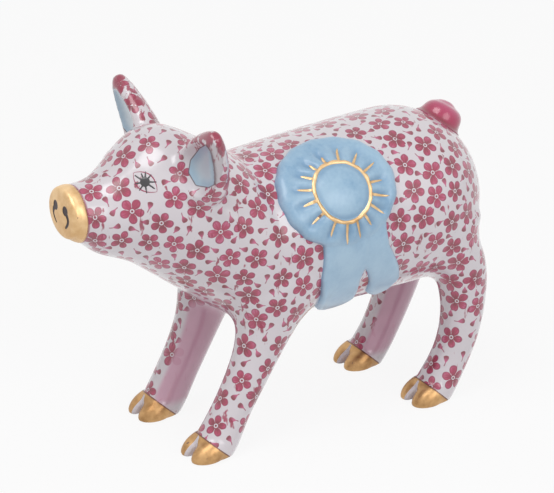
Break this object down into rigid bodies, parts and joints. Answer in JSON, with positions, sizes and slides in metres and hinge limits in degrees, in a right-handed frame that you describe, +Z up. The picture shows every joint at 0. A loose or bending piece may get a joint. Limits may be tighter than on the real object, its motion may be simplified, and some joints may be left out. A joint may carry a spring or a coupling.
{
  "type": "pig figurine",
  "caption": "Standing glazed porcelain pig figurine, raspberry blossom pattern on white, light blue rosette with ribbon tails on its left flank, gilt snout and toes",
  "frame": {"origin": "on the ground, midway between snout and rump and between the flanks", "axes": "+X out of the left flank, +Y from the snout towards the rump, +Z up"},
  "size_m": [0.0366, 0.0813, 0.0625],
  "materials": {
    "porcelain": "white porcelain under clear glaze, hand painted with raspberry blossoms",
    "blue_enamel": "light blue enamel with soft brush streaks under clear glaze",
    "raspberry_enamel": "solid raspberry enamel under clear glaze",
    "gilding": "thin satin gold lustre fired on the glaze"
  },
  "bodies": {
    "root": {"trunk_shell": "porcelain", "head_shell": "porcelain", "ear_left": "porcelain", "ear_right": "porcelain", "leg_front_left": "porcelain", "leg_front_right": "porcelain", "leg_rear_left": "porcelain", "leg_rear_right": "porcelain", "rosette_pleats": "blue_enamel", "rosette_button": "blue_enamel", "ribbon_front": "blue_enamel", "ribbon_rear": "blue_enamel", "tail_curl": "raspberry_enamel", "snout_pad": "gilding", "hoof_front_left": "gilding", "hoof_front_right": "gilding", "hoof_rear_left": "gilding", "hoof_rear_right": "gilding", "rosette_ring": "gilding"}
  },
  "joints": []
}
